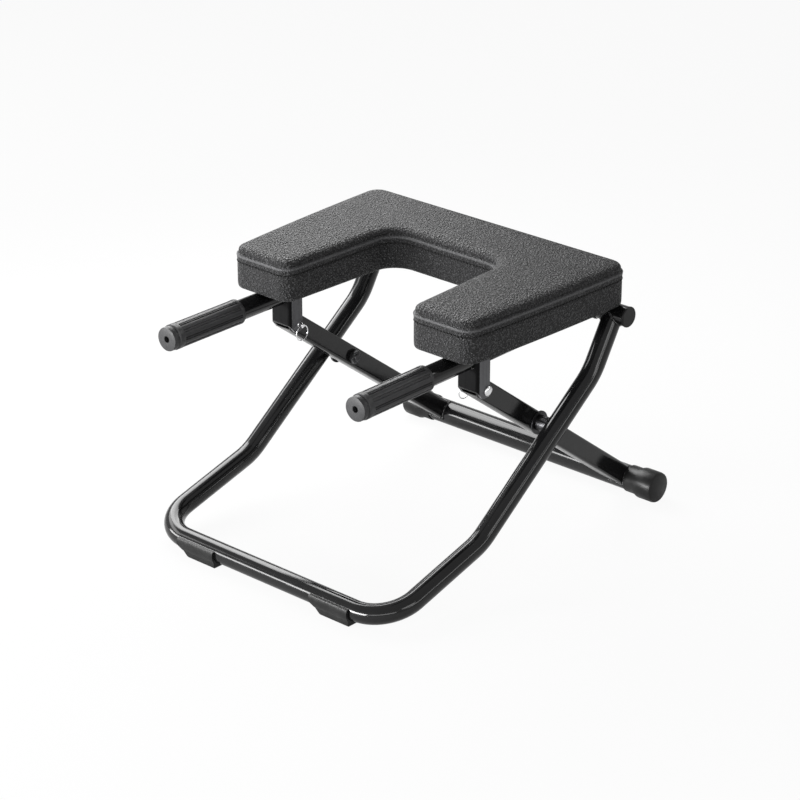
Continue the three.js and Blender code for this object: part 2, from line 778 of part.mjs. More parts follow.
function addPair(name, solid, material) {
  addPiece(`${name}_right`, solid, material);
  addPiece(`${name}_left`, mirrored(solid), material);
}

addPiece("base_frame_tube", baseFrameTube(), blackPaint);
addPiece("rear_cross_tube", rearCrossTube(), blackPaint);
addPair("cross_tube_plug", crossTubePlug(), footRubber);
addPair("front_foot", frontFoot(), footRubber);
addPair("pivot_stud", pivotStud(), darkSteel);
addPair("pivot_washer", pivotWasher(), darkSteel);
addPair("lock_nut", lockNut(), darkSteel);

addPair("inner_leg", innerLeg(), blackPaint);
addPair("pivot_bush", pivotBush(), bushPlastic);
addPiece("rear_foot_tube", rearFootTube(), blackPaint);
addPair("rear_foot_cap", rearFootCap(), footRubber);
addPair("hitch_pin", hitchPin(), plating);
addPair("split_ring", splitRing(), plating);

addPair("seat_rail", seatRail(), blackPaint);
addPair("hinge_collar", hingeCollarTube(), blackPaint);
addPair("rail_grip", railGrip(), gripRubber);
addPair("hook_bracket", hookBracket(), bracketPaint);
addPiece("seat_board", seatBoard(), plywood);
addPiece("seat_cushion", seatCushion(), padCover);
Object.entries(seatBolts).forEach(([place, y]) => {
  addPair(`seat_bolt_${place}`, seatBolt(y), darkSteel);
  addPair(`tee_nut_${place}`, seatTeeNut(y), darkSteel);
  addPair(`rail_spacer_${place}`, railSpacer(y), bushPlastic);
});

export default stool;
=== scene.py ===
"""Yoga headstand stool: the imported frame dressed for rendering.

It has smooth tubes with weld beads, a stitched pad, ribbed grips, rubber feet and hardware. Lengths
are in metres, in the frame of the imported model: X to the right, Y to the rear, Z up from the floor.
"""

import json
import math

import bmesh
import bpy
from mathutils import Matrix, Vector
from mathutils.geometry import delaunay_2d_cdt


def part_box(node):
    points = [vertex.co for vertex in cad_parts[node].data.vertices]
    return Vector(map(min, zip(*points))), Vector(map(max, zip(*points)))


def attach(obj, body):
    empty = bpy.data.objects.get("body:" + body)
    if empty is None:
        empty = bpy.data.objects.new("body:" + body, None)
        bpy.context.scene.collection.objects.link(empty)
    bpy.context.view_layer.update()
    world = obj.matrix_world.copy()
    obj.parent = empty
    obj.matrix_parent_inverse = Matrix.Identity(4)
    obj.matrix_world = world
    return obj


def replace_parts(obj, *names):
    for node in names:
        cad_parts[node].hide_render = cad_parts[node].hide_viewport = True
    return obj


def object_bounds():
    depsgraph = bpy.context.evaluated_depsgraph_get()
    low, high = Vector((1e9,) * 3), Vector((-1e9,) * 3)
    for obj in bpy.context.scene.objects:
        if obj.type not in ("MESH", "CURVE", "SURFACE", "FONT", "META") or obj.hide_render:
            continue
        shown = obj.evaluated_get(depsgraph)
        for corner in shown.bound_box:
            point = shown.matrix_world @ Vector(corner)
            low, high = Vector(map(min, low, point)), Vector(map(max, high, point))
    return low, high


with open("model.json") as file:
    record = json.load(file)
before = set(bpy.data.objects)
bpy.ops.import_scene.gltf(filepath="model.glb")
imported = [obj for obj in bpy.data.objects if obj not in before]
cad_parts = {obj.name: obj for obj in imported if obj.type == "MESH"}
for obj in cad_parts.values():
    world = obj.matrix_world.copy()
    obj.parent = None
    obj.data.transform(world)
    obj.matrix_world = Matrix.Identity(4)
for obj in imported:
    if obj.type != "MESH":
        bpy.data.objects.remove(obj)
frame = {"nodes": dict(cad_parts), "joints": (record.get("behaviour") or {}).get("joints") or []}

bl_info = {
    "name": "Headstand stool",
    "version": (1, 0, 0),
    "blender": (4, 5, 0),
    "location": "3D View > Sidebar > Stool",
    "description": "Builds a folding headstand stool with a stitched pad and ribbed grips",
    "category": "Add Mesh",
}

CAD_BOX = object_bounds()
JOINTS = {joint["name"]: Vector(joint["pos_m"]) for joint in frame["joints"]}
PIVOT = JOINTS["frame_fold"]
HINGE = JOINTS["seat_lift"]
SIDES = {"right": 1.0, "left": -1.0}


def middle_of(node):
    low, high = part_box(node)
    return (low + high) / 2


def size_of(node):
    low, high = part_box(node)
    return high - low


# Sizes and colours


def length(name, description, default):
    return bpy.props.FloatProperty(
        name=name, description=description, default=default, unit="LENGTH", precision=4
    )


def lengths(name, description, default):
    return bpy.props.FloatVectorProperty(
        name=name, description=description, default=default, size=len(default), unit="LENGTH"
    )


def angle(name, description, degrees):
    return bpy.props.FloatProperty(
        name=name, description=description, default=math.radians(degrees), subtype="ANGLE"
    )


def number(name, description, default):
    return bpy.props.FloatProperty(name=name, description=description, default=default)


def colour(name, description, default):
    return bpy.props.FloatVectorProperty(
        name=name, description=description, default=default, subtype="COLOR", size=3,
        min=0.0, max=1.0,
    )


class StudioSizes(bpy.types.PropertyGroup):
    place: lengths("Camera place", "Where the camera stands", (2.1337, -2.39515, 1.587))
    turn: angle("Camera turn", "Turn to the left from looking rearward", 41.85)
    dip: angle("Camera dip", "How far the camera looks down", 23.97)
    lens: number("Focal length", "Focal length in millimetres on a 36 mm sensor", 128.2)
    floor: colour("Floor", "Pale floor", (0.62, 0.62, 0.62))
    glow: number("Floor white", "How white the camera sees the floor", 0.93)
    gloss: number("White in gloss", "Share of the white surroundings that gloss shows", 0.4)
    air: number("Air light", "Strength of the even light from all round", 0.2)


class FinishColours(bpy.types.PropertyGroup):
    black_paint: colour("Frame paint", "Gloss black of the tubes", (0.004, 0.004, 0.0042))
    bracket_paint: colour("Bracket paint", "Dark grey of the brackets", (0.075, 0.075, 0.08))
    foot_rubber: colour("Foot rubber", "Rubber of feet, caps and plugs", (0.007, 0.007, 0.007))
    grip_rubber: colour("Grip rubber", "Ribbed rubber of the handles", (0.022, 0.022, 0.023))
    plating: colour("Plating", "Bright plating of pins, rings and staples", (0.88, 0.88, 0.89))
    dark_steel: colour("Dark steel", "Nuts, studs, washers and bolts", (0.05, 0.05, 0.052))
    black_plastic: colour("Plastic", "Black bushes and spacers", (0.012, 0.012, 0.012))
    plywood: colour("Plywood", "Board under the pad", (0.43, 0.29, 0.17))
    pad_cover: colour("Pad cover", "Dark grey grained leatherette", (0.050, 0.050, 0.0516))
    thread: colour("Thread", "Black sewing thread", (0.004, 0.004, 0.004))


class FrameSizes(bpy.types.PropertyGroup):
    radius: length("Tube radius", "Outer radius of the frame tube", 0.0127)
    leg: length("Leg centre", "From the middle to each leg's centre line", 0.1907)
    base: length("Base height", "Height of the base tube's centre line", 0.0165)
    front: length("Base place", "Y of the base tube's centre line", -0.24775)
    low: lengths("Lower bend", "Y and Z where the lower straight runs meet", (-0.08475, 0.060))
    high: lengths("Upper bend", "Y and Z where the upper straight runs meet", (0.12225, 0.2125))
    bend: length("Bend radius", "Radius of the leg bends on the centre line", 0.075)
    corner: length("Corner radius", "Radius of the base corners on the centre line", 0.050)
    slant_high: length("Slant height", "Height of a foot's cut-off corner", 0.0145)
    slant_long: length("Slant length", "Length of a foot's cut-off corner", 0.017)
    lip: length("Lip height", "Height above the tube's centre where a foot's lips end", 0.0075)


class PadSizes(bpy.types.PropertyGroup):
    front: length("Front", "Y of the front of both arms", 0.139 - 0.24775)
    back: length("Back", "Y of the pad's back edge", 0.420 - 0.24775)
    front_half: length("Front half width", "Half width at the front", 0.192)
    back_half: length("Back half width", "Half width at the back", 0.2075)
    bow: length("Side bow", "How far the long sides bow out", 0.002)
    neck_front: length("Neck half width", "Half width of the opening at its mouth", 0.0975)
    neck_back: length("Neck back half width", "Half width of the opening at its end", 0.0895)
    neck_end: length("Neck end", "Y of the end of the opening", 0.323 - 0.24775)
    front_round: length("Front corner", "Radius of the arms' outer front corners", 0.020)
    back_round: length("Back corner", "Radius of the back corners", 0.022)
    mouth_round: length("Mouth corner", "Radius of the arms' inner front corners", 0.018)
    neck_round: length("Neck corner", "Radius in the corners of the opening", 0.030)
    bottom: length("Bottom", "Height of the lowest edge of the cover", 0.2930)
    top: length("Top", "Height of the flat of the pad", 0.3478)
    seam: length("Seam", "Height of the stitched seam", 0.3275)
    welt: length("Welt", "Height of the fold above the seam", 0.3368)
    roll: length("Roll", "Depth of the roll at the top's edges", 0.0175)
    mesh: length("Fineness", "Spacing of the cover's mesh", 0.0048)
    pressure: number("Pressure", "How hard the foam fills the cover", 4.0)
    swell: length("Most swell", "The furthest that the cover swells", 0.0032)


class GripSizes(bpy.types.PropertyGroup):
    disc: length("End disc", "Length of the flat end disc", 0.007)
    groove: length("Groove", "Width of the groove behind the disc", 0.0016)
    front_collar: length("Front collar", "Length of the collar behind the groove", 0.009)
    rear_collar: length("Rear collar", "Length of the collar at the pad", 0.0035)
    disc_radius: length("Disc radius", "Radius of the end disc", 0.0149)
    collar_radius: length("Collar radius", "Radius of both collars", 0.0159)
    core_radius: length("Core radius", "Radius between the ribs", 0.0142)
    rib_radius: length("Rib radius", "Radius over the ribs", 0.0157)
    hole: length("Hole radius", "Radius of the vent hole in the disc", 0.0040)
    ribs: bpy.props.IntProperty(name="Ribs", description="Number of broad ribs", default=10)
    broad: number("Broad share", "Share of the round that the broad ribs take", 0.66)
    narrow: number("Narrow share", "Share of the round that the narrow ribs take", 0.12)


class SeamSizes(bpy.types.PropertyGroup):
    pitch: length("Stitch pitch", "Distance from stitch to stitch", 0.0052)
    stitch: length("Stitch length", "Length of one stitch", 0.0036)
    thread: length("Thread radius", "Radius of the thread", 0.00075)
    staple_pitch: length("Staple pitch", "Distance from staple to staple", 0.024)
    weld_pitch: length("Weld ripple", "Distance from ripple to ripple in a weld", 0.0016)
    weld: length("Weld radius", "Radius of a weld bead", 0.0020)


# Meshes


def added(name, data):
    """A new object in the scene."""
    made = bpy.data.objects.new(name, data)
    bpy.context.scene.collection.objects.link(made)
    return made


def mesh_of(name, maker):
    """A mesh made by a function that fills a bmesh."""
    work = bmesh.new()
    maker(work)
    work.normal_update()
    mesh = bpy.data.meshes.new(name)
    work.to_mesh(mesh)
    work.free()
    return mesh


def plain_mesh(carrier):
    """A mesh of what an object's modifiers make of it."""
    bpy.context.view_layer.update()
    graph = bpy.context.evaluated_depsgraph_get()
    return bpy.data.meshes.new_from_object(carrier.evaluated_get(graph))


def finished(name, mesh, body, slot, smooth=40.0, coat=None):
    """A piece that rides on a body; edges sharper than the angle stay crisp.

    Its finish goes by its slot's name, unless a coat is named.
    """
    mesh.materials.clear()
    mesh.materials.append(finish(coat or slot))
    mesh.shade_smooth()
    mesh.set_sharp_from_angle(angle=math.radians(smooth))
    piece = added(name, mesh)
    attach(piece, body)
    return piece


def bevelled(piece, width):
    bevel = piece.modifiers.new("Edges", "BEVEL")
    bevel.width = width
    bevel.segments = 2
    bevel.limit_method = "ANGLE"
    bevel.angle_limit = math.radians(40)
    bevel.harden_normals = True
    return piece


def trimmed(work, place, outward):
    """Cuts off what lies beyond a plane, and closes the cut."""
    cut = bmesh.ops.bisect_plane(
        work, geom=[*work.verts, *work.edges, *work.faces], dist=1e-6, clear_outer=True,
        plane_co=place, plane_no=outward,
    )["geom_cut"]
    edges = [item for item in cut if isinstance(item, bmesh.types.BMEdge)]
    bmesh.ops.triangle_fill(work, edges=edges, use_beauty=True, normal=outward)


def merged_copy(work, node):
    """Fills a bmesh with a CAD node's faces, with its flat faces whole again."""
    work.from_mesh(frame["nodes"][node].data)
    bmesh.ops.remove_doubles(work, verts=work.verts, dist=2e-6)
    bmesh.ops.dissolve_limit(
        work, angle_limit=math.radians(0.6), verts=work.verts, edges=work.edges
    )


def dressed(node, body, slot, edge=0.0003):
    """A merged, smooth-shaded copy of a CAD node, with its sharp edges eased."""
    name = "dressed_" + node
    mesh = mesh_of(name, lambda work: merged_copy(work, node))
    piece = finished(name, mesh, body, slot, 35.0)
    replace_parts(bevelled(piece, edge), node)


def pairs(ring):
    """Each item of a ring with the next one, and the last with the first."""
    return zip(ring, ring[1:] + ring[:1])


def ring_faces(work, first, second):
    return [
        work.faces.new((a, b, d, c)) for (a, b), (c, d) in zip(pairs(first), pairs(second))
    ]


def circle(work, middle, normal, other, radius, sides):
    ring = []
    for k in range(sides):
        turn = 2 * math.pi * k / sides
        place = middle + normal * radius * math.cos(turn) + other * radius * math.sin(turn)
        ring.append(work.verts.new(place))
    return ring


def arc(corner, into, inward, radius, turn, steps):
    """Points on the round bend that replaces a corner."""
    centre = corner - into * radius * math.tan(turn / 2) + inward * radius
    return [
        centre - inward * radius * math.cos(turn * k / steps)
        + into * radius * math.sin(turn * k / steps)
        for k in range(steps + 1)
    ]


def bent_line(corners, radii, step=math.radians(3)):
    """Points along straight runs that are joined by round bends."""
    points = [corners[0]]
    for before, corner, after, radius in zip(corners, corners[1:], corners[2:], radii):
        into = (corner - before).normalized()
        out = (after - corner).normalized()
        inward = (out - into * out.dot(into)).normalized()
        turn = into.angle(out)
        points += arc(corner, into, inward, radius, turn, max(2, math.ceil(turn / step)))
    return points + [corners[-1]]


def sweep(work, points, radius, sides):
    """A round bar along points, with its section carried along without twist."""
    tangents = [
        (ahead - behind).normalized()
        for behind, ahead in zip([points[0], *points], [*points[1:], points[-1]])
    ]
    normal = tangents[0].orthogonal().normalized()
    rings = []
    for point, tangent in zip(points, tangents):
        normal = (normal - tangent * normal.dot(tangent)).normalized()
        rings.append(circle(work, point, normal, tangent.cross(normal), radius, sides))
    for first, second in zip(rings, rings[1:]):
        ring_faces(work, first, second)
    work.faces.new(reversed(rings[0]))
    work.faces.new(rings[-1])


def lathe(work, profile, centre, along, sides):
    """[radius, place] pairs turned about a line; a radius of nothing makes a pole."""
    normal = along.orthogonal().normalized()
    other = along.cross(normal)
    rings = []
    for radius, place in profile:
        middle = centre + along * place
        if radius > 0:
            rings.append(circle(work, middle, normal, other, radius, sides))
        else:
            rings.append([work.verts.new(middle)])
    for first, second in zip(rings, rings[1:]):
        if len(first) == 1:
            for a, b in pairs(second):
                work.faces.new((first[0], b, a))
        elif len(second) == 1:
            for a, b in pairs(first):
                work.faces.new((a, b, second[0]))
        else:
            ring_faces(work, first, second)


# Materials


class Nodes:
    """A tree of nodes, built up call by call."""

    def __init__(self, tree):
        self.tree = tree

    def node(self, kind, inputs=None, **settings):
        """A node with its settings, and inputs that are values or other nodes' outputs."""
        made = self.tree.nodes.new(kind)
        for name, value in settings.items():
            setattr(made, name, value)
        for name, value in (inputs or {}).items():
            self.feed(made.inputs[name], value)
        return made

    def feed(self, target, value):
        """Sets an input, or links another node's output to it."""
        if isinstance(value, bpy.types.NodeSocket):
            self.tree.links.new(value, target)
        else:
            target.default_value = (*value, 1.0) if target.type == "RGBA" else value

    def calc(self, operation, first, second):
        made = self.node("ShaderNodeMath", {0: first, 1: second}, operation=operation)
        return made.outputs["Value"]

    def spread(self, value, low, high, start=0.3, end=0.7):
        """A value that runs from start to end, made to run from low to high."""
        inputs = {"From Min": start, "From Max": end, "To Min": low, "To Max": high}
        made = self.node("ShaderNodeMapRange", {"Value": value, **inputs})
        return made.outputs["Result"]

    def seen_white(self, gloss):
        """1 for rays from the camera and through glass, and a share of it for rays off gloss."""
        rays = self.node("ShaderNodeLightPath").outputs
        off_gloss = self.calc("MULTIPLY", rays["Is Glossy Ray"], gloss)
        seen = self.calc("MAXIMUM", rays["Is Camera Ray"], off_gloss)
        return self.calc("MAXIMUM", seen, rays["Is Transmission Ray"])


class Shade(Nodes):
    """A material on one shader."""

    def __init__(self, name, base, roughness, metallic=0.0, specular=0.5):
        self.material = bpy.data.materials.new(name)
        self.material.use_nodes = True
        self.material.diffuse_color = (*base, 1.0)
        super().__init__(self.material.node_tree)
        self.base = base
        self.shader = self.tree.nodes["Principled BSDF"]
        self.place = self.node("ShaderNodeTexCoord").outputs["Object"]
        self.set(Base_Color=base, Roughness=roughness, Metallic=metallic)
        self.set(Specular_IOR_Level=specular)

    def set(self, **inputs):
        """Sets or links the shader's own inputs."""
        for name, value in inputs.items():
            self.feed(self.shader.inputs[name.replace("_", " ")], value)
        return self

    def noise(self, grain, detail=2.0, roughness=0.5, stretch=(1, 1, 1)):
        mapping = self.node("ShaderNodeMapping", {"Scale": stretch, "Vector": self.place})
        made = self.node("ShaderNodeTexNoise", {
            "Scale": 1 / grain, "Detail": detail, "Roughness": roughness,
            "Vector": mapping.outputs["Vector"],
        })
        return made.outputs["Fac"]

    def mixed(self, factor, first, second):
        """From the first colour at 0 to the second at 1."""
        inputs = {"A": first, "B": second, "Factor": factor}
        return self.node("ShaderNodeMix", inputs, data_type="RGBA").outputs["Result"]

    def along(self, axis):
        return self.node("ShaderNodeSeparateXYZ", {"Vector": self.place}).outputs[axis]

    def off_height(self, height):
        """Distance above or below a height."""
        return self.calc("ABSOLUTE", self.calc("SUBTRACT", self.along("Z"), height), 0.0)

    def bump(self, height, strength, distance):
        inputs = {"Strength": strength, "Distance": distance, "Height": height}
        before = self.shader.inputs["Normal"].links
        if before:
            inputs["Normal"] = before[0].from_socket
        return self.set(Normal=self.node("ShaderNodeBump", inputs).outputs["Normal"])

    def mottled(self, grain, detail, dark, light):
        """Colour that drifts between two multiples of the base."""
        drift = self.spread(self.noise(grain, detail), 0, 1)
        mixed = self.mixed(drift, times(self.base, dark), times(self.base, light))
        return self.set(Base_Color=mixed)

    def worn(self, grain, detail, low, high):
        """Roughness that drifts between two values."""
        return self.set(Roughness=self.spread(self.noise(grain, detail), low, high))

    def dimpled(self, grain, detail, strength, distance):
        return self.bump(self.noise(grain, detail), strength, distance)


def times(base, factor):
    return tuple(min(1.0, channel * factor) for channel in base)


def gloss_paint(base):
    shade = Shade("gloss_black_paint", base, 0.2, specular=0.38)
    shade.mottled(0.06, 3, 1, 1.5).worn(0.012, 4, 0.10, 0.16)
    return shade.dimpled(0.02, 1, 0.03, 0.0002)


def satin_paint(base):
    """Brushed ears, and a front web painted near black as painted shade from the pad above it."""
    shade = Shade("satin_bracket_paint", base, 0.42, metallic=0.2)
    streak = shade.noise(0.0022, 3, stretch=(1, 1, 0.06))
    brushed = shade.mixed(shade.spread(streak, 0, 1), times(base, 0.8), times(base, 1.3))
    web_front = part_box("hook_bracket_right")[0].y
    # Painted shade: in front of this Y the web turns near black and dark metal, standing in for the
    # pad's shadow on it.
    behind = shade.spread(shade.along("Y"), 0, 1, web_front + 0.0040, web_front + 0.0044)
    shade.set(
        Base_Color=shade.mixed(behind, times(base, 0.06), brushed),
        Metallic=shade.spread(behind, 0.9, 0.2, 0, 1),
        Roughness=shade.spread(streak, 0.36, 0.5),
    )
    return shade.bump(streak, 0.08, 0.0002)


def moulded_rubber(base):
    shade = Shade("foot_rubber", base, 0.4, specular=0.2)
    shade.mottled(0.02, 4, 1, 1.8).worn(0.006, 3, 0.28, 0.42)
    return shade.dimpled(0.0010, 2, 0.15, 0.0002)


def ribbed_rubber(base):
    shade = Shade("ribbed_grip_rubber", base, 0.45, specular=0.3)
    shade.mottled(0.015, 4, 1, 1.4).worn(0.004, 3, 0.38, 0.52)
    return shade.dimpled(0.0008, 2, 0.12, 0.00015)


def bright_plating(base):
    shade = Shade("bright_plating", base, 0.12, metallic=1.0)
    return shade.mottled(0.004, 2, 0.9, 1).worn(0.003, 3, 0.12, 0.26)


def blackened_steel(base):
    shade = Shade("blackened_steel", base, 0.35, metallic=1.0)
    shade.mottled(0.005, 4, 0.7, 1.5).worn(0.002, 3, 0.28, 0.48)
    return shade.dimpled(0.001, 2, 0.1, 0.0001)


def moulded_plastic(base):
    shade = Shade("black_plastic", base, 0.45)
    return shade.worn(0.003, 3, 0.38, 0.55).dimpled(0.0006, 2, 0.1, 0.0001)


def plain_plywood(base):
    shade = Shade("plain_plywood", base, 0.7, specular=0.3)
    figure = shade.noise(0.006, 5, 0.6, stretch=(1, 0.08, 1))
    plies = shade.node(
        "ShaderNodeTexWave", {"Scale": 55, "Distortion": 0.6, "Vector": shade.place},
        wave_type="BANDS", bands_direction="Z",
    ).outputs["Fac"]
    both = shade.calc("MULTIPLY", shade.spread(figure, 0.5, 1), shade.spread(plies, 0.6, 1, 0, 1))
    shade.set(Base_Color=shade.mixed(both, times(base, 0.45), times(base, 1.25)))
    return shade.bump(figure, 0.2, 0.0003)


def grained_cover(base):
    """Pebbled leatherette: low domes with creases between them, pulled smooth over the welt.

    Its colour has a painted highlight along the welt and painted shade in the seam groove; its grain
    tone is partly painted shade in the creases and painted highlight on the dome tops.
    """
    pad = bpy.context.scene.stool_pad
    shade = Shade("grained_cover", base, 0.45, specular=0.2)
    shade.set(Sheen_Weight=0.02, Sheen_Roughness=0.4)
    warp = shade.node("ShaderNodeTexNoise", {"Scale": 260, "Vector": shade.place})
    shift = shade.node(
        "ShaderNodeVectorMath", {0: warp.outputs["Color"], "Scale": 0.0030}, operation="SCALE"
    )
    moved = shade.node(
        "ShaderNodeVectorMath", {0: shade.place, 1: shift.outputs["Vector"]}, operation="ADD"
    )
    cells = shade.node(
        "ShaderNodeTexVoronoi",
        {"Scale": 370, "Smoothness": 0.25, "Vector": moved.outputs["Vector"]},
        feature="SMOOTH_F1",
    )
    dome = shade.spread(cells.outputs["Distance"], 1, 0, 0.05, 0.62)
    fine = shade.calc("MULTIPLY", shade.noise(0.0007, 2, 0.6), 0.25)
    # Near the welt the grain's bump is smoothed, and the colour is lightened there as a painted
    # highlight along the ridge.
    welt_smoothing_and_highlight = shade.spread(shade.off_height(pad.welt - 0.001), 0.3, 1, 0.0008, 0.0026)
    # Painted shade: the colour darkens to about an eighth near the seam, standing in for the shadow
    # in the seam groove.
    lit = shade.spread(shade.off_height(pad.seam), 0, 1, 0.0005, 0.0013)
    # The grain's colour runs from dark in the creases to light on the dome tops: partly the cover's
    # own tone, partly painted shade in the creases and painted highlight on the tops.
    grain = shade.mixed(dome, times(base, 0.20), times(base, 1.45))
    welt_painted_highlight = shade.mixed(welt_smoothing_and_highlight, times(base, 1.7), grain)
    shade.set(
        Base_Color=shade.mixed(lit, times(base, 0.12), welt_painted_highlight),
        Roughness=shade.spread(dome, 0.60, 0.31, 0, 1),
    )
    shade.dimpled(0.012, 2, 0.12, 0.001)
    height = shade.calc("MULTIPLY", shade.calc("ADD", dome, fine), welt_smoothing_and_highlight)
    return shade.bump(height, 1.0, 0.0026)


def sewing_thread(base):
    shade = Shade("black_thread", base, 0.7, specular=0.3)
    return shade.dimpled(0.0003, 2, 0.4, 0.0001)


FINISHES = {
    "black_paint": gloss_paint,
    "bracket_paint": satin_paint,
    "foot_rubber": moulded_rubber,
    "grip_rubber": ribbed_rubber,
    "plating": bright_plating,
    "dark_steel": blackened_steel,
    "black_plastic": moulded_plastic,
    "plywood": plain_plywood,
    "pad_cover": grained_cover,
    "thread": sewing_thread,
}
MATERIALS = {}


def finish(name):
    """A finish by its name, made once from its colour in the panel."""
    if name not in MATERIALS:
        base = tuple(getattr(bpy.context.scene.stool_finishes, name))
        MATERIALS[name] = FINISHES[name](base).material
    return MATERIALS[name]


# Repeats along a path


def repeat_tree():
    """Puts copies of one object along a path, each a little larger or smaller by chance.

    The path's own 'outward' attribute says which way is up for a copy.
    """
    tree = bpy.data.node_groups.new("repeat_along_path", "GeometryNodeTree")
    for name, kind in (
        ("Geometry", "Geometry"), ("Copy", "Object"), ("Pitch", "Float"),
        ("Unevenness", "Float"), ("Finish", "Material"),
    ):
        tree.interface.new_socket(name, in_out="INPUT", socket_type="NodeSocket" + kind)
    tree.interface.new_socket("Geometry", in_out="OUTPUT", socket_type="NodeSocketGeometry")
    nodes = Nodes(tree)
    given = nodes.node("NodeGroupInput").outputs
    curve = nodes.node("GeometryNodeMeshToCurve", {"Mesh": given["Geometry"]})
    spaced = nodes.node(
        "GeometryNodeResampleCurve",
        {"Curve": curve.outputs["Curve"], "Length": given["Pitch"]},
        mode="LENGTH",
    )
    outward = nodes.node(
        "GeometryNodeInputNamedAttribute", {"Name": "outward"}, data_type="FLOAT_VECTOR"
    )
    up = nodes.node(
        "FunctionNodeAlignRotationToVector", {"Vector": outward.outputs["Attribute"]}, axis="Z"
    )
    tangent = nodes.node("GeometryNodeInputTangent")
    along = nodes.node(
        "FunctionNodeAlignRotationToVector",
        {"Rotation": up.outputs["Rotation"], "Vector": tangent.outputs["Tangent"]},
        axis="X", pivot_axis="Z",
    )
    copy = nodes.node("GeometryNodeObjectInfo", {"Object": given["Copy"]})
    least = nodes.calc("SUBTRACT", 1.0, given["Unevenness"])
    most = nodes.calc("ADD", 1.0, given["Unevenness"])
    size = nodes.node("FunctionNodeRandomValue", {2: least, 3: most, "Seed": 7}, data_type="FLOAT")
    placed = nodes.node("GeometryNodeInstanceOnPoints", {
        "Points": spaced.outputs["Curve"], "Instance": copy.outputs["Geometry"],
        "Rotation": along.outputs["Rotation"], "Scale": size.outputs[1],
    })
    real = nodes.node("GeometryNodeRealizeInstances", {"Geometry": placed.outputs["Instances"]})
    coated = nodes.node(
        "GeometryNodeSetMaterial",
        {"Geometry": real.outputs["Geometry"], "Material": given["Finish"]},
    )
    nodes.node("NodeGroupOutput", {"Geometry": coated.outputs["Geometry"]})
    return tree


def path_mesh(paths):
    """Edges along each path of (point, outward) pairs.

    A path whose first and last points meet is closed.
    """
    mesh = bpy.data.meshes.new("path")
    points, edges, outwards = [], [], []
    for path in paths:
        start = len(points)
        closed = (path[0][0] - path[-1][0]).length < 1e-7
        run = path[:-1] if closed else path
        points += [point for point, _ in run]
        outwards += [outward for _, outward in run]
        edges += [(start + i, start + i + 1) for i in range(len(run) - 1)]
        if closed:
            edges.append((start + len(run) - 1, start))
    mesh.from_pydata(points, edges, [])
    attribute = mesh.attributes.new("outward", "FLOAT_VECTOR", "POINT")
    attribute.data.foreach_set("vector", [channel for outward in outwards for channel in outward])
    return mesh


def repeated(name, paths, copy_maker, pitch, body, slot, unevenness=0.0, coat=None):
    """Copies of a small form along paths, as one plain mesh."""
    tree = bpy.data.node_groups.get("repeat_along_path") or repeat_tree()
    small = mesh_of(name + "_copy", copy_maker)
    small.shade_smooth()
    copy = added(name + "_copy", small)
    carrier = added(name + "_carrier", path_mesh(paths))
    modifier = carrier.modifiers.new("Repeat", "NODES")
    modifier.node_group = tree
    values = {
        "Copy": copy, "Pitch": pitch, "Unevenness": unevenness, "Finish": finish(coat or slot),
    }
    for item in tree.interface.items_tree:
        if item.in_out == "INPUT" and item.name in values:
            modifier[item.identifier] = values[item.name]
    mesh = plain_mesh(carrier)
    carrier.modifiers.remove(modifier)
    for helper in (copy, carrier):
        bpy.data.objects.remove(helper)
    if not mesh.polygons:
        raise RuntimeError(name + " came out empty")
    return finished(name, mesh, body, slot, 60.0, coat)


def bead(radius, long):
    """A maker for a rounded bead that lies along X."""
    sides, steps = 8, 5
    stretch = max(0.0, long / 2 - radius)
    profile = []
    for k in range(steps + 1):
        turn = math.pi * k / steps
        wide = radius * math.sin(turn) if 0 < k < steps else 0
        place = -math.cos(turn) * radius
        profile.append((wide, place + math.copysign(stretch, place)))
    return lambda work: lathe(work, profile, Vector(), Vector((1, 0, 0)), sides)


def welded(name, paths, body, share=1.0):
    """Rippled, painted weld beads of a share of the panel's radius."""
    seams = bpy.context.scene.stool_seams
    radius = seams.weld * share
    repeated(name, paths, bead(radius, radius * 2), seams.weld_pitch, body, "black_paint", 0.12)


# Operators

# Name, place, width and height, and power of each lamp; all of them point at the stool's middle
LAMPS = (
    ("high_key", (-1.30, 0.30, 1.45), (0.9, 0.7), 5),
    ("near_left", (-0.62, 0.30, 0.74), (0.85, 0.60), 10.5),
    ("left_strip", (-1.90, -0.35, 1.20), (2.4, 0.5), 17),
    ("front_left_strip", (-1.75, -1.95, 0.50), (2.4, 0.46), 60),
    ("front_right_strip", (1.4, -2.2, 0.58), (2.4, 0.34), 12),
    ("front_softbox", (-0.55, -2.30, 0.42), (1.5, 0.40), 84),
    ("right_softbox", (2.15, -0.35, 0.95), (1.1, 0.4), 6),
    ("right_strip", (2.45, 0.45, 0.62), (1.9, 0.18), 5),
    ("rear_right_strip", (1.35, 1.75, 1.60), (1.2, 0.25), 8),
)


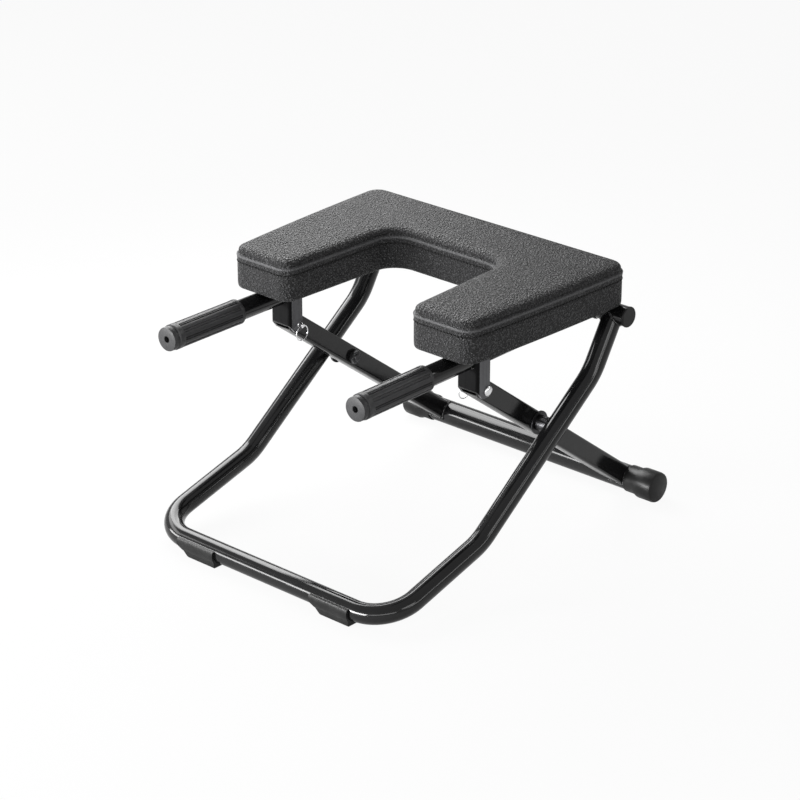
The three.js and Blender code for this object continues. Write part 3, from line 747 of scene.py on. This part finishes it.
class STOOL_OT_stage(bpy.types.Operator):
    """Makes the camera, the pale floor, the lamps and the even light from all round."""

    bl_idname = "stool.stage"
    bl_label = "Stage"

    def execute(self, context):
        scene = context.scene
        sizes = scene.stool_studio
        self.camera(scene, sizes)
        self.floor(sizes)
        self.air(scene, sizes)
        for lamp in LAMPS:
            self.lamp(*lamp)
        scene.view_settings.view_transform = "Standard"
        return {"FINISHED"}

    def camera(self, scene, sizes):
        data = bpy.data.cameras.new("camera")
        data.sensor_width = 36
        data.lens = sizes.lens
        data.clip_start = 0.1
        data.clip_end = 60
        camera = added("camera", data)
        camera.location = sizes.place
        camera.rotation_euler = (math.pi / 2 - sizes.dip, 0, sizes.turn)
        scene.camera = camera

    def floor(self, sizes):
        """The floor lights the stool by its colour, and camera rays see it near white."""

        def maker(work):
            bmesh.ops.create_grid(work, x_segments=1, y_segments=1, size=20)
            bmesh.ops.translate(work, verts=work.verts, vec=(0, 0, -0.0002))

        shade = Shade("pale_floor", tuple(sizes.floor), 1.0, specular=0.0)
        glow = shade.node("ShaderNodeEmission", {"Color": (1, 1, 1)})
        both = shade.node("ShaderNodeMixShader", {
            "Fac": shade.calc("MULTIPLY", shade.seen_white(sizes.gloss), sizes.glow),
            1: shade.shader.outputs["BSDF"],
            2: glow.outputs["Emission"],
        })
        surface = shade.tree.nodes["Material Output"].inputs["Surface"]
        shade.feed(surface, both.outputs["Shader"])
        floor = added("floor", mesh_of("floor", maker))
        floor.data.materials.append(shade.material)

    def air(self, scene, sizes):
        """Even light on the stool, seen as white by the camera."""
        scene.world = bpy.data.worlds.new("air")
        scene.world.use_nodes = True
        nodes = Nodes(scene.world.node_tree)
        back = nodes.tree.nodes["Background"].inputs
        nodes.feed(back["Color"], (1, 1, 1))
        white = nodes.seen_white(sizes.gloss)
        nodes.feed(back["Strength"], nodes.spread(white, sizes.air, 1, 0, 1))

    def lamp(self, name, place, size, power):
        data = bpy.data.lights.new(name, "AREA")
        data.shape = "RECTANGLE"
        data.size, data.size_y = size
        data.energy = power
        lamp = added(name, data)
        lamp.visible_camera = False
        lamp.location = place
        aim = (CAD_BOX[0] + CAD_BOX[1]) / 2 - Vector(place)
        lamp.rotation_euler = aim.to_track_quat("-Z", "Y").to_euler()


class STOOL_OT_outer_frame(bpy.types.Operator):
    """Bends the outer frame from one round tube and welds it to the rear cross tube."""

    bl_idname = "stool.outer_frame"
    bl_label = "Outer frame"

    def execute(self, context):
        sizes = context.scene.stool_frame
        down = (Vector((0, *sizes.high)) - Vector((0, HINGE.y, HINGE.z))).normalized()
        self.tube(sizes, down)
        dressed("rear_cross_tube", "outer_frame", "black_paint")
        self.welds(sizes, down)
        return {"FINISHED"}

    def tube(self, sizes, down):
        start = sizes.radius * 0.4

        def side(x):
            return [
                Vector((x, HINGE.y, HINGE.z)) + down * start,
                Vector((x, *sizes.high)),
                Vector((x, *sizes.low)),
                Vector((x, sizes.front, sizes.base)),
            ]

        corners = side(-sizes.leg) + side(sizes.leg)[::-1]
        radii = [sizes.bend, sizes.bend, sizes.corner]
        line = bent_line(corners, radii + radii[::-1])
        name = "outer_frame_tube"
        mesh = mesh_of(name, lambda work: sweep(work, line, sizes.radius, 96))
        tube = finished(name, mesh, "outer_frame", "black_paint")
        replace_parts(tube, "base_frame_tube")

    def welds(self, sizes, down):
        """A bead round the top of each leg, along its saddle-shaped joint with the cross tube."""
        across = Vector((1, 0, 0))
        front = across.cross(down)
        steps = 96
        paths = []
        for sign in SIDES.values():
            centre = Vector((sign * sizes.leg, HINGE.y, HINGE.z))
            path = []
            for k in range(steps):
                turn = 2 * math.pi * k / steps
                outward = across * math.cos(turn) + front * math.sin(turn)
                rise = sizes.radius * abs(math.cos(turn))
                place = centre + outward * sizes.radius + down * rise
                path.append((place, (outward + down).normalized()))
            paths.append(path + path[:1])
        welded("frame_welds", paths, "outer_frame")


class STOOL_OT_inner_frame(bpy.types.Operator):
    """Dresses the square inner legs and the rear foot tube, and welds them together."""

    bl_idname = "stool.inner_frame"
    bl_label = "Inner frame"

    def execute(self, context):
        for side in SIDES:
            dressed("inner_leg_" + side, "inner_frame", "black_paint", 0.0004)
        dressed("rear_foot_tube", "inner_frame", "black_paint")
        self.welds()
        return {"FINISHED"}

    def welds(self):
        """A bead on the foot tube round the foot of each square leg."""
        foot = middle_of("rear_foot_tube")
        radius = size_of("rear_foot_tube").z / 2
        up = math.atan2(PIVOT.z - foot.z, PIVOT.y - foot.y)
        steps = 24
        paths = []
        for side in SIDES:
            leg = middle_of("inner_leg_" + side)
            half = size_of("inner_leg_" + side).x / 2
            reach = math.asin(half / radius)
            path = []
            for face in (-1, 1):
                for k in range(steps + 1):
                    turn = up + face * reach * (2 * k / steps - 1)
                    outward = Vector((0, math.cos(turn), math.sin(turn)))
                    place = Vector((leg.x + face * half, foot.y, foot.z)) + outward * radius
                    path.append((place, (outward + Vector((face, 0, 0))).normalized()))
            paths.append(path + path[:1])
        welded("foot_tube_welds", paths, "inner_frame", 0.9)


class STOOL_OT_seat_frame(bpy.types.Operator):
    """Dresses the seat rails, hinge collars, hook brackets and the board under the pad."""

    bl_idname = "stool.seat_frame"
    bl_label = "Seat frame"

    def execute(self, context):
        for side in SIDES:
            dressed("seat_rail_" + side, "seat", "black_paint")
            dressed("hinge_collar_" + side, "seat", "black_paint")
            dressed("hook_bracket_" + side, "seat", "bracket_paint", 0.0004)
        dressed("seat_board", "seat", "plywood", 0.0004)
        self.welds(context.scene.stool_seams.weld)
        return {"FINISHED"}

    def welds(self, radius):
        """Beads between the rail and the upper edge of each ear."""
        steps = 12
        paths = []
        for side in SIDES:
            low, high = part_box("hook_bracket_" + side)
            rail = middle_of("seat_rail_" + side)
            half = size_of("seat_rail_" + side).x / 2
            for face in (-1, 1):
                outward = Vector((face, 0, 1)).normalized()
                x = rail.x + face * (half + radius * 0.4)
                start = Vector((x, low.y + radius * 2, high.z))
                end = Vector((x, high.y - radius * 2, high.z))
                paths.append([(start.lerp(end, k / steps), outward) for k in range(steps + 1)])
        welded("bracket_welds", paths, "seat")


class STOOL_OT_feet(bpy.types.Operator):
    """Dresses the rubber saddles, the caps of the foot tube and the plugs of the cross tube."""

    bl_idname = "stool.feet"
    bl_label = "Feet and caps"

    def execute(self, context):
        for side in SIDES:
            self.saddle(side, context.scene.stool_frame)
            dressed("cross_tube_plug_" + side, "outer_frame", "foot_rubber", 0.0004)
            dressed("rear_foot_cap_" + side, "inner_frame", "foot_rubber", 0.0005)
        return {"FINISHED"}

    def saddle(self, side, sizes):
        """Both saddles are the same moulding, so each has the slant at its left end.

        The lips at the rear are trimmed to a sloping plane.
        """
        node = "front_foot_" + side
        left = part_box(node)[0].x

        def maker(work):
            merged_copy(work, node)
            slant = (-sizes.slant_high, 0, -sizes.slant_long)
            trimmed(work, (left, 0, sizes.slant_high), slant)
            trimmed(work, (0, sizes.front, sizes.base + sizes.lip), (0, 0.30, 1.0))
            bmesh.ops.recalc_face_normals(work, faces=work.faces)

        name = "rubber_saddle_" + side
        piece = finished(name, mesh_of(name, maker), "outer_frame", "foot_rubber", 35.0)
        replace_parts(bevelled(piece, 0.0009), node)


class STOOL_OT_hardware(bpy.types.Operator):
    """Dresses the pivots, hitch pins, split rings, seat bolts, tee nuts, bushes and spacers."""

    bl_idname = "stool.hardware"
    bl_label = "Hardware"

    def execute(self, context):
        edge = 0.0002
        for side in SIDES:
            for node in ("pivot_stud_", "pivot_washer_", "lock_nut_"):
                dressed(node + side, "outer_frame", "dark_steel", edge)
            dressed("pivot_bush_" + side, "inner_frame", "black_plastic", edge)
            dressed("hitch_pin_" + side, "inner_frame", "plating", edge)
            self.ring(side)
            for place in ("front", "rear"):
                dressed(f"seat_bolt_{place}_{side}", "seat", "dark_steel", edge)
                dressed(f"tee_nut_{place}_{side}", "seat", "dark_steel", edge)
                dressed(f"rail_spacer_{place}_{side}", "seat", "black_plastic")
        return {"FINISHED"}

    def ring(self, side):
        """The split ring: one turn of round wire that hangs from the pin's cross hole."""
        node = "split_ring_" + side
        low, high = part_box(node)
        centre = (low + high) / 2
        wire = (high.x - low.x) / 2
        radius = (high.y - low.y) / 2 - wire
        half_gap = 0.06
        steps = 96
        points = []
        for k in range(steps + 1):
            turn = half_gap + (2 * math.pi - 2 * half_gap) * k / steps
            points.append(centre + Vector((0, math.sin(turn), -math.cos(turn))) * radius)
        name = "key_ring_" + side
        mesh = mesh_of(name, lambda work: sweep(work, points, wire, 14))
        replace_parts(finished(name, mesh, "ring_" + side, "plating"), node)


# Half of a rib's section: share of its half width, and share of its rise above the core
RIB_SECTION = [(-1.0, 0), (-0.96, 0.55), (-0.86, 0.86), (-0.6, 0.98), (0, 1.0)]


class STOOL_OT_grips(bpy.types.Operator):
    """Makes the rubber grips: a core with end disc, groove and collars, and long ribs round it."""

    bl_idname = "stool.grips"
    bl_label = "Grips"

    def execute(self, context):
        for side in SIDES:
            self.grip(side, context.scene.stool_grips)
        return {"FINISHED"}

    def grip(self, side, sizes):
        node = "rail_grip_" + side
        low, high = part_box(node)
        centre = Vector(((low.x + high.x) / 2, low.y, HINGE.z))
        long = high.y - low.y
        groove = sizes.disc + sizes.groove
        ribs = groove + sizes.front_collar
        collar = long - sizes.rear_collar
        bore = size_of("seat_rail_" + side).x / 2 + 0.0001

        def maker(work):
            self.core(work, sizes, centre, bore, (groove, ribs, collar, long))
            for k in range(sizes.ribs):
                broad = 2 * math.pi * (k + 0.5) / sizes.ribs
                self.rib(work, sizes, centre, ribs, collar, broad, sizes.broad)
                narrow = 2 * math.pi * k / sizes.ribs
                self.rib(work, sizes, centre, ribs, collar, narrow, sizes.narrow)

        name = "ribbed_grip_" + side
        piece = finished(name, mesh_of(name, maker), "seat", "grip_rubber", 32.0)
        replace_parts(piece, node)

    def core(self, work, sizes, centre, bore, places):
        """The turned part, from the vent hole round the outside and back through the bore."""
        groove, ribs, collar, long = places
        hole, rim, core, out = (
            sizes.hole, sizes.disc_radius, sizes.core_radius, sizes.collar_radius
        )
        wall, slope, ease, nick, fine = 0.006, 0.0012, 0.0010, 0.0004, 0.0002
        profile = [
            (hole, wall),
            (hole, nick),
            (hole + nick, 0),
            (rim - ease, 0),
            (rim - ease * 0.3, ease * 0.3),
            (rim, ease),
            (rim, sizes.disc - 0.0003),
            (rim - 0.0003, sizes.disc),
            (core, sizes.disc + fine),
            (core, groove - fine),
            (out - slope, groove),
            (out, groove + slope),
            (out, ribs - ease),
            (out - ease * 0.3, ribs - ease * 0.3),
            (core, ribs),
            (core, collar - ease),
            (out - ease * 0.3, collar - ease * 0.4),
            (out, collar),
            (out, long - nick),
            (out - nick, long),
            (bore, long),
            (bore, wall),
            (hole, wall),
        ]
        lathe(work, profile, centre, Vector((0, 1, 0)), 64)
        bmesh.ops.remove_doubles(work, verts=work.verts, dist=1e-7)
        bmesh.ops.recalc_face_normals(work, faces=work.faces)

    def rib(self, work, sizes, centre, front, rear, turn, share):
        """One long rib with a low round back, let into the core along its sides."""
        half = math.pi / sizes.ribs * share
        rise = sizes.rib_radius - sizes.core_radius
        sunk = 0.0003
        section = RIB_SECTION + [(-u, v) for u, v in reversed(RIB_SECTION[:-1])]
        ends = (
            (front - 0.0012, 0.35), (front - 0.0002, 1.0),
            (rear + 0.0002, 1.0), (rear + 0.001, 0.35),
        )
        rings = []
        for y, high in ends:
            ring = []
            for u, v in section:
                radius = sizes.core_radius + (rise * v * high if v else -sunk)
                here = turn + half * u
                place = Vector((math.cos(here) * radius, y, math.sin(here) * radius))
                ring.append(work.verts.new(centre + place))
            rings.append(ring)
        made = []
        for first, second in zip(rings, rings[1:]):
            made += ring_faces(work, first, second)
        made += [work.faces.new(rings[0]), work.faces.new(rings[-1])]
        bmesh.ops.recalc_face_normals(work, faces=made)


# Rows of the pad's cover: height above the hem, seam or welt, depth inside the outline, and how
# firmly the row is held while the cover swells
HEM_ROWS = (
    (0, 0.022, 1.0),
    (0, 0.012, 1.0),
    (0, 0.0055, 1.0),
    (0.0004, 0.0026, 1.0),
    (0.0016, 0.0010, 1.0),
    (0.0042, 0.0004, 0.9),
)
SEAM_ROWS = (
    (-0.0024, 0.0005, 0.8),
    (-0.0012, 0.0008, 1.0),
    (-0.0004, 0.0012, 1.0),
    (0.0004, 0.0011, 1.0),
    (0.0012, 0.0005, 1.0),
    (0.0026, 0.0002, 0.8),
    (0.0050, 0.0001, 0.6),
)
WELT_ROWS = (
    (-0.0020, -0.0003, 0.9),
    (-0.0010, -0.0006, 1.0),
    (-0.0001, -0.0003, 1.0),
    (0.0004, 0.0008, 1.0),
    (0.0007, 0.0022, 1.0),
    (0.0013, 0.0031, 1.0),
    (0.0021, 0.0027, 1.0),
    (0.0030, 0.0020, 1.0),
)
# Shares of the rise and of the depth of the roll from the welt up to the flat of the top
ROLL_SHARES = (
    (0.20, 0.006), (0.40, 0.04), (0.58, 0.11), (0.73, 0.21),
    (0.85, 0.35), (0.93, 0.53), (0.98, 0.75), (1, 1),
)
SIDE_DEPTH, SIDE_HELD, ROLL_HELD, TOP_HELD, HEM_HELD = 0.0003, 0.25, 0.6, 0.3, 1.0


class PadShape:
    """The pad's U outline at any depth inside its edge, and the rows of its sides."""

    arc_steps = 12
    bowed_runs = (0, 2)

    def __init__(self, sizes):
        self.sizes = sizes
        outer = [
            (sizes.front_half, sizes.front, sizes.front_round),
            (sizes.back_half, sizes.back, sizes.back_round),
        ]
        neck = [
            (sizes.neck_front, sizes.front, sizes.mouth_round),
            (sizes.neck_back, sizes.neck_end, sizes.neck_round),
        ]

        def flipped(corners):
            return [(-x, y, radius) for x, y, radius in corners]

        self.corners = outer + flipped(outer[::-1]) + flipped(neck) + neck[::-1]
        self.run_steps = [
            max(2, round((ahead - here).length / sizes.mesh))
            for (here, *_), (ahead, *_) in pairs(self.inset(0))
        ]

    def inset(self, depth):
        """(corner, radius, way in, way out) of the same U with every side moved inward."""
        count = len(self.corners)
        made = []
        for i, (x, y, radius) in enumerate(self.corners):
            here = Vector((x, y))
            into = (here - Vector(self.corners[i - 1][:2])).normalized()
            out = (Vector(self.corners[(i + 1) % count][:2]) - here).normalized()
            first = Vector((-into.y, into.x))
            second = Vector((-out.y, out.x))
            moved = here + (first + second) * (depth / (1 + first.dot(second)))
            convex = into.cross(out) > 0
            bend = max(radius - depth, 0.002) if convex else radius + depth
            made.append((moved, bend, into, out))
        return made

    def ring(self, depth):
        """Points round the outline: an arc at each corner, then an even run to the next."""
        arcs = []
        for corner, radius, into, out in self.inset(depth):
            turn = math.acos(max(-1.0, min(1.0, into.dot(out))))
            inward = Vector((-into.y, into.x)) * (1 if into.cross(out) > 0 else -1)
            arcs.append(arc(corner, into, inward, radius, turn, self.arc_steps))
        points = []
        for i, (here, ahead) in enumerate(pairs(arcs)):
            points += here
            for k in range(1, self.run_steps[i]):
                share = k / self.run_steps[i]
                point = here[-1].lerp(ahead[0], share)
                if i in self.bowed_runs:
                    bow = self.sizes.bow * 4 * share * (1 - share)
                    point.x += math.copysign(bow, point.x)
                points.append(point)
        return points

    def rows(self):
        """(height, depth, held) for each row from the turned-in hem up to the flat of the top."""
        sizes = self.sizes
        rows = [(sizes.bottom + up, depth, held) for up, depth, held in HEM_ROWS]
        low, high = sizes.bottom + 0.009, sizes.seam - 0.0045
        rows += [(low + (high - low) * k / 4, SIDE_DEPTH, SIDE_HELD) for k in range(5)]
        rows += [(sizes.seam + up, depth, held) for up, depth, held in SEAM_ROWS]
        rows += [(sizes.welt + up, depth, held) for up, depth, held in WELT_ROWS]
        start, edge, _ = rows[-1]
        rise = sizes.top - start
        for up, deep in ROLL_SHARES:
            rows.append((start + rise * up, edge + sizes.roll * deep, ROLL_HELD))
        return rows


class STOOL_OT_pad(bpy.types.Operator):
    """Makes the shoulder pad: a cover over foam, swelled by cloth pressure between its seams."""

    bl_idname = "stool.pad"
    bl_label = "Pad"

    def execute(self, context):
        sizes = context.scene.stool_pad
        mesh, held = self.cover(sizes)
        raw = added("stitched_pad", mesh)
        self.swell(context.scene, raw, held, sizes)
        raw.vertex_groups.clear()
        fine = raw.modifiers.new("Fine", "SUBSURF")
        fine.levels = fine.render_levels = 1
        mesh = plain_mesh(raw)
        bpy.data.objects.remove(raw)
        pad = finished("stitched_pad", mesh, "seat", "pad_cover", 180.0)
        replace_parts(pad, "seat_cushion")
        return {"FINISHED"}

    def cover(self, sizes):
        """The cover's mesh, and how firmly each of its points is held as it swells."""
        shape = PadShape(sizes)
        held = []

        def maker(work):
            rings = []
            for height, depth, hold in shape.rows():
                points = shape.ring(depth)
                rings.append([work.verts.new((point.x, point.y, height)) for point in points])
                held.extend([hold] * len(points))
            for first, second in zip(rings, rings[1:]):
                ring_faces(work, first, second)
            held.extend([TOP_HELD] * self.cap(work, rings[-1], sizes.mesh, False))
            held.extend([HEM_HELD] * self.cap(work, rings[0], sizes.mesh, True))

        return mesh_of("stitched_pad", maker), held

    def cap(self, work, ring, step, downward):
        """Fills a ring with an even net of points at its own height; gives how many it adds."""
        height = ring[0].co.z
        edge = [vert.co.xy.copy() for vert in ring]
        low = min(point.y for point in edge)
        high = max(point.y for point in edge)
        row_share, clear = 0.87, step * 0.6
        inner = []
        for row in range(int((high - low) / (step * row_share)) + 1):
            y = low + row * step * row_share
            crossings = sorted(
                a.x + (b.x - a.x) * (y - a.y) / (b.y - a.y)
                for a, b in pairs(edge)
                if (a.y <= y) != (b.y <= y)
            )
            for start, end in zip(crossings[::2], crossings[1::2]):
                x = math.ceil((start + clear) / step) * step + (row % 2) * step / 2
                while x < end - clear:
                    point = Vector((x, y))
                    if min((point - rim).length_squared for rim in edge) > clear ** 2:
                        inner.append(point)
                    x += step
        loop = list(pairs(list(range(len(edge)))))
        places, _, faces, *_ = delaunay_2d_cdt(edge + inner, loop, [], 1, 1e-6)
        fresh = [work.verts.new((*place, height)) for place in places[len(edge):]]
        verts = ring + fresh
        for a, b, c in faces:
            order = (c, b, a) if downward else (a, b, c)
            work.faces.new([verts[i] for i in order])
        return len(fresh)

    def swell(self, scene, pad, held, sizes):
        """Cloth pressure for some frames, with each point's travel capped."""
        frames = 20
        group = pad.vertex_groups.new(name="held")
        for index, hold in enumerate(held):
            group.add([index], hold, "REPLACE")
        start = [vertex.co.copy() for vertex in pad.data.vertices]
        cloth = pad.modifiers.new("Swell", "CLOTH")
        for name, value in {
            "quality": 5,
            "mass": 0.3,
            "tension_stiffness": 30,
            "compression_stiffness": 30,
            "shear_stiffness": 12,
            "bending_stiffness": 6,
            "use_pressure": True,
            "uniform_pressure_force": sizes.pressure,
            "vertex_group_mass": "held",
            "pin_stiffness": 6,
        }.items():
            setattr(cloth.settings, name, value)
        cloth.settings.effector_weights.gravity = 0
        cloth.collision_settings.use_collision = False
        cloth.point_cache.frame_start = 1
        cloth.point_cache.frame_end = frames
        for step in range(frames):
            scene.frame_set(step + 1)
        moved = plain_mesh(pad)
        pad.modifiers.remove(cloth)
        for vertex, before, after in zip(pad.data.vertices, start, moved.vertices):
            travel = after.co - before
            if travel.length > sizes.swell:
                travel = travel.normalized() * sizes.swell
            vertex.co = before + travel
        bpy.data.meshes.remove(moved)
        scene.frame_set(1)


class STOOL_OT_pad_seams(bpy.types.Operator):
    """Sews the stitches into the pad's seam and staples its hem to the board."""

    bl_idname = "stool.pad_seams"
    bl_label = "Pad seams and staples"

    def execute(self, context):
        sizes = context.scene.stool_pad
        seams = context.scene.stool_seams
        shape = PadShape(sizes)
        stitch = bead(seams.thread, seams.stitch)
        seam = self.path(shape, 0.0004, sizes.seam)
        repeated("pad_stitches", [seam], stitch, seams.pitch, "seat", "pad_cover", coat="thread")
        hem = self.path(shape, 0.015, sizes.bottom - 0.0002, Vector((0, 0, -1)))
        repeated("hem_staples", [hem], self.staple, seams.staple_pitch, "seat", "plating")
        return {"FINISHED"}

    def path(self, shape, depth, height, outward=None):
        """A closed path round the pad, facing away from it unless another way is given."""
        points = shape.ring(depth)
        count = len(points)
        made = []
        for i, point in enumerate(points):
            along = (points[(i + 1) % count] - points[i - 1]).normalized()
            out = outward or Vector((along.y, -along.x, 0))
            made.append((Vector((point.x, point.y, height)), out))
        return made + made[:1]

    def staple(self, work):
        """A wire staple across the hem, seen from its back."""
        wire, half = 0.00045, 0.005
        sweep(work, [Vector((0, -half, 0)), Vector((0, half, 0))], wire, 6)


class STOOL_PT_panel(bpy.types.Panel):
    """Lists the stool's operators and sizes."""

    bl_idname = "STOOL_PT_panel"
    bl_label = "Headstand stool"
    bl_space_type = "VIEW_3D"
    bl_region_type = "UI"
    bl_category = "Stool"

    def draw(self, context):
        for operator in OPERATORS:
            self.layout.operator(operator.bl_idname)
        for name in GROUPS:
            box = self.layout.box()
            box.label(text=name.replace("_", " "))
            group = getattr(context.scene, name)
            for field in type(group).__annotations__:
                box.prop(group, field)


GROUPS = {
    "stool_studio": StudioSizes,
    "stool_finishes": FinishColours,
    "stool_frame": FrameSizes,
    "stool_pad": PadSizes,
    "stool_grips": GripSizes,
    "stool_seams": SeamSizes,
}
OPERATORS = (
    STOOL_OT_stage,
    STOOL_OT_outer_frame,
    STOOL_OT_inner_frame,
    STOOL_OT_seat_frame,
    STOOL_OT_feet,
    STOOL_OT_hardware,
    STOOL_OT_grips,
    STOOL_OT_pad,
    STOOL_OT_pad_seams,
)


def register():
    for kind in (*GROUPS.values(), *OPERATORS, STOOL_PT_panel):
        bpy.utils.register_class(kind)
    for name, kind in GROUPS.items():
        setattr(bpy.types.Scene, name, bpy.props.PointerProperty(type=kind))


def unregister():
    for name in GROUPS:
        delattr(bpy.types.Scene, name)
    for kind in (STOOL_PT_panel, *reversed(OPERATORS), *GROUPS.values()):
        bpy.utils.unregister_class(kind)


def main():
    register()
    for operator in OPERATORS:
        group, name = operator.bl_idname.split(".")
        getattr(getattr(bpy.ops, group), name)()
    bpy.context.view_layer.update()


if __name__ == "__main__":
    main()
